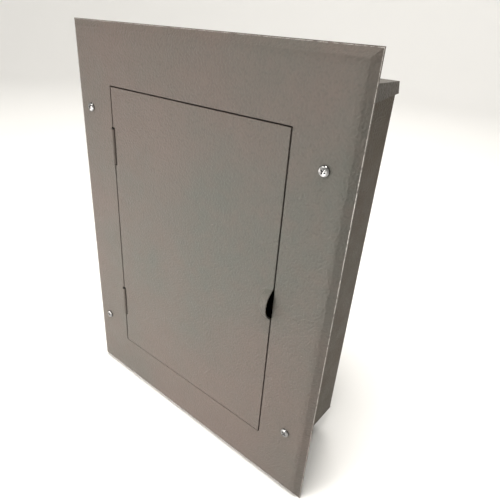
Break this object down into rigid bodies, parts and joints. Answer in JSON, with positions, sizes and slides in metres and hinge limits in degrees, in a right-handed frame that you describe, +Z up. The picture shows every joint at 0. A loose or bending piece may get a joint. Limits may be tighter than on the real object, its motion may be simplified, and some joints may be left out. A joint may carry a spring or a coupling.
{
  "type": "fire alarm control panel",
  "caption": "Flush wall cabinet of a fire alarm control panel: bent-edge trim frame, inset hinged door with a finger pull, back box, operator panel, boards, transformer and batteries.",
  "frame": {"origin": "centre of the back box's back face, which is also the centre of its four fixing holes", "axes": "+Z up, front faces -Y, +X to the right as one faces the door"},
  "size_m": [0.35, 0.1268, 0.45],
  "materials": {
    "cabinet_paint": "fine textured warm grey powder coat",
    "hinge_paint": "the same paint, rubbed on the knuckles",
    "zinc_plate": "bright zinc plate",
    "bright_screw": "nickel bright",
    "pin_steel": "oiled steel",
    "black_plastic": "fine matte black",
    "magnet_ferrite": "dark ferrite",
    "board_green": "solder mask with tracks",
    "terminal_green": "moulded green",
    "terminal_metal": "tinned",
    "relay_case": "blue moulded case",
    "fuse_metal": "tinned brass clips",
    "fuse_glass": "clear tube",
    "capacitor_sleeve": "shrunk dark sleeve",
    "panel_paint": "dark satin coat",
    "display_body": "black frame, green glass",
    "window_clear": "clear sheet",
    "lamp_green": "tinted lens",
    "lamp_red": "tinted lens",
    "lamp_yellow": "tinted lens",
    "button_grey": "light grey caps",
    "button_red": "red cap",
    "battery_case": "dark moulded case",
    "core_steel": "varnished laminations",
    "coil_tape": "yellow tape over the winding",
    "lead_sheath": "red and black sheaths",
    "supply_sheath": "yellow sheaths",
    "ribbon_sheath": "grey ribbon"
  },
  "bodies": {
    "cabinet": {"back_box": "cabinet_paint", "top_end_plate": "cabinet_paint", "bottom_end_plate": "cabinet_paint", "trim_frame": "cabinet_paint", "hinge_trim_leaves": "hinge_paint", "nut_plates": "zinc_plate", "knockout_discs": "zinc_plate", "catch_bracket": "zinc_plate", "chassis_studs": "zinc_plate", "chassis_plate": "zinc_plate", "chassis_nuts": "zinc_plate", "board_standoffs": "zinc_plate", "board_screws": "zinc_plate", "dress_posts": "zinc_plate", "operator_spacers": "zinc_plate", "battery_tray": "zinc_plate", "battery_strap": "zinc_plate", "transformer_frame": "zinc_plate", "trim_screws": "bright_screw", "dress_screws": "bright_screw", "key_switch_body": "bright_screw", "key_switch_nut": "bright_screw", "hinge_pins": "pin_steel", "cable_bushing": "black_plastic", "catch_housing": "black_plastic", "logic_chips": "black_plastic", "button_switches": "black_plastic", "sounder": "black_plastic", "catch_magnet": "magnet_ferrite", "main_board": "board_green", "operator_board": "board_green", "terminal_blocks": "terminal_green", "terminal_screws": "terminal_metal", "battery_terminals": "terminal_metal", "relays": "relay_case", "fuse_holders": "fuse_metal", "earth_stud": "fuse_metal", "fuses": "fuse_glass", "capacitors": "capacitor_sleeve", "dress_panel": "panel_paint", "display_module": "display_body", "display_window": "window_clear", "power_lamp": "lamp_green", "alarm_lamp": "lamp_red", "trouble_lamps": "lamp_yellow", "batteries": "battery_case", "transformer_core": "core_steel", "transformer_coil": "coil_tape", "battery_leads": "lead_sheath", "transformer_leads": "supply_sheath", "ribbon_cable": "ribbon_sheath"},
    "door": {"door_panel": "cabinet_paint", "door_stiffener": "cabinet_paint", "hinge_door_leaves": "hinge_paint", "catch_strike": "zinc_plate"},
    "key": {"key_barrel": "bright_screw"},
    "silence_key": {"silence_button": "button_grey"},
    "acknowledge_key": {"acknowledge_button": "button_grey"},
    "drill_key": {"drill_button": "button_grey"},
    "reset_key": {"reset_button": "button_red"}
  },
  "joints": [
    {"name": "door_hinge", "type": "hinge", "parent": "cabinet", "child": "door", "pos_m": [-0.1126, -0.1172, 0.001], "axis": [0, 0, -1], "range_deg": [0, 170]},
    {"name": "key_turn", "type": "hinge", "parent": "cabinet", "child": "key", "pos_m": [0.074, -0.09, 0.062], "axis": [0, 1, 0], "range_deg": [0, 90]},
    {"name": "silence_press", "type": "slide", "parent": "cabinet", "child": "silence_key", "axis": [0, 1, 0], "range_m": [0, 0.0015], "stiffness_N_per_m": 900, "springref_m": -0.0006},
    {"name": "acknowledge_press", "type": "slide", "parent": "cabinet", "child": "acknowledge_key", "axis": [0, 1, 0], "range_m": [0, 0.0015], "stiffness_N_per_m": 900, "springref_m": -0.0006},
    {"name": "drill_press", "type": "slide", "parent": "cabinet", "child": "drill_key", "axis": [0, 1, 0], "range_m": [0, 0.0015], "stiffness_N_per_m": 900, "springref_m": -0.0006},
    {"name": "reset_press", "type": "slide", "parent": "cabinet", "child": "reset_key", "axis": [0, 1, 0], "range_m": [0, 0.0015], "stiffness_N_per_m": 900, "springref_m": -0.0006}
  ]
}
